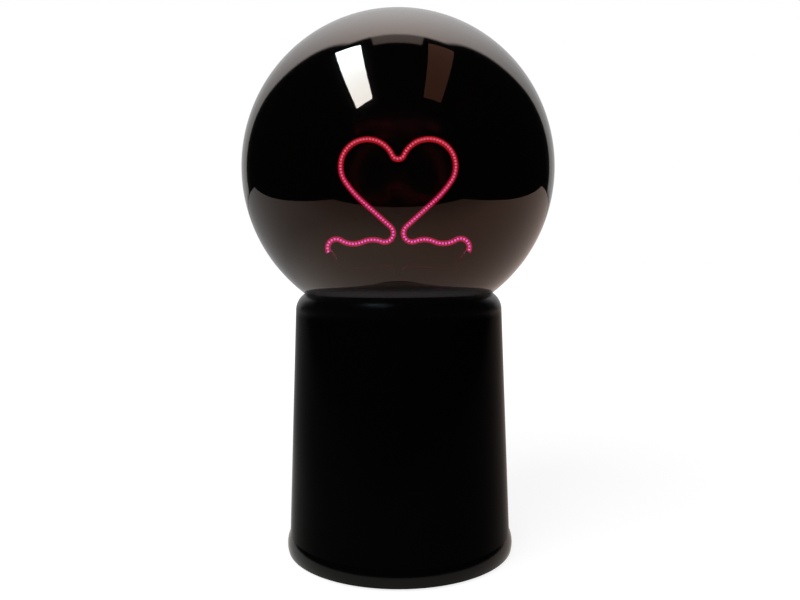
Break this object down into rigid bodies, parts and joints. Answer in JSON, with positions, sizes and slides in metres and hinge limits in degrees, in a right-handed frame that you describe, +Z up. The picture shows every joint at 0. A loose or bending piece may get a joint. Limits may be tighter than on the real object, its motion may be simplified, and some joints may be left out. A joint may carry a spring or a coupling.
{
  "type": "globe sign table lamp",
  "caption": "Table lamp with a dark smoked globe bulb, a glowing heart-line filament inside it, and a black tapered round base; the bulb screws out and a rocker switch is on the back.",
  "frame": {"origin": "on the table under the middle of the base", "axes": "+Z up along the base's axis; the front faces -Y and the switch and cord entry face +Y"},
  "size_m": [0.125, 0.125, 0.217],
  "materials": {
    "base_black": "satin black moulding with a soft sheen",
    "fitting_black": "black moulded fittings",
    "rubber_black": "soft rubber feet",
    "zinc_steel": "zinc plated",
    "raw_steel": "bare steel disc",
    "brass": "plain brass",
    "white_insulator": "white insulating moulding",
    "lead_brown": "brown lead insulation",
    "lead_blue": "blue lead insulation",
    "smoked_glass": "dark brown-grey smoked glass, polished",
    "clear_glass": "clear glass stem",
    "cap_aluminium": "formed aluminium screw cap",
    "cap_insulator": "black glass insulator",
    "board_green": "circuit board",
    "board_parts": "driver components",
    "bright_wire": "nickel wire and ferrules",
    "filament_glow": "pink-red glowing silicone filament with a bead of chips"
  },
  "bodies": {
    "base": {"base_housing": "base_black", "base_plate": "base_black", "switch_body": "fitting_black", "cord_bush": "fitting_black", "bush_nut": "fitting_black", "holder_cap": "fitting_black", "holder_body": "fitting_black", "rubber_feet": "rubber_black", "plate_screws": "zinc_steel", "ballast_screws": "zinc_steel", "bracket_screws": "zinc_steel", "terminal_screws": "zinc_steel", "connector_screws": "zinc_steel", "holder_bracket": "zinc_steel", "nipple_nut": "zinc_steel", "ballast": "raw_steel", "bracket_nipple": "brass", "thread_sleeve": "brass", "centre_contact": "brass", "contact_rivets": "brass", "holder_terminals": "brass", "switch_terminals": "brass", "connector_barrel": "brass", "holder_insert": "white_insulator", "connector_block": "white_insulator", "live_lead": "lead_brown", "neutral_lead": "lead_blue"},
    "bulb_button": {"bulb_contact": "brass"},
    "bulb": {"globe_glass": "smoked_glass", "bulb_cap": "cap_aluminium", "bulb_insulator": "cap_insulator", "driver_board": "board_green", "driver_parts": "board_parts", "bulb_stem": "clear_glass", "stem_leads": "bright_wire", "support_wires": "bright_wire", "filament_ferrules": "bright_wire", "led_filament": "filament_glow"},
    "rocker": {"switch_rocker": "fitting_black"}
  },
  "joints": [
    {"name": "bulb_rise", "type": "slide", "parent": "base", "child": "bulb_button", "axis": [0, 0, 1], "range_m": [0, 0.0073]},
    {"name": "bulb_turn", "type": "hinge", "parent": "bulb_button", "child": "bulb", "pos_m": [0, 0, 0.05], "axis": [0, 0, 1], "range_deg": [0, 720]},
    {"name": "rocker_tip", "type": "hinge", "parent": "base", "child": "rocker", "pos_m": [0, 0.0431, 0.052], "axis": [1, 0, 0], "range_deg": [-18, 0]}
  ],
  "couplings": [
    {"joint": "bulb_rise", "follows": "bulb_turn", "m_per_rad": 0.00057773}
  ]
}
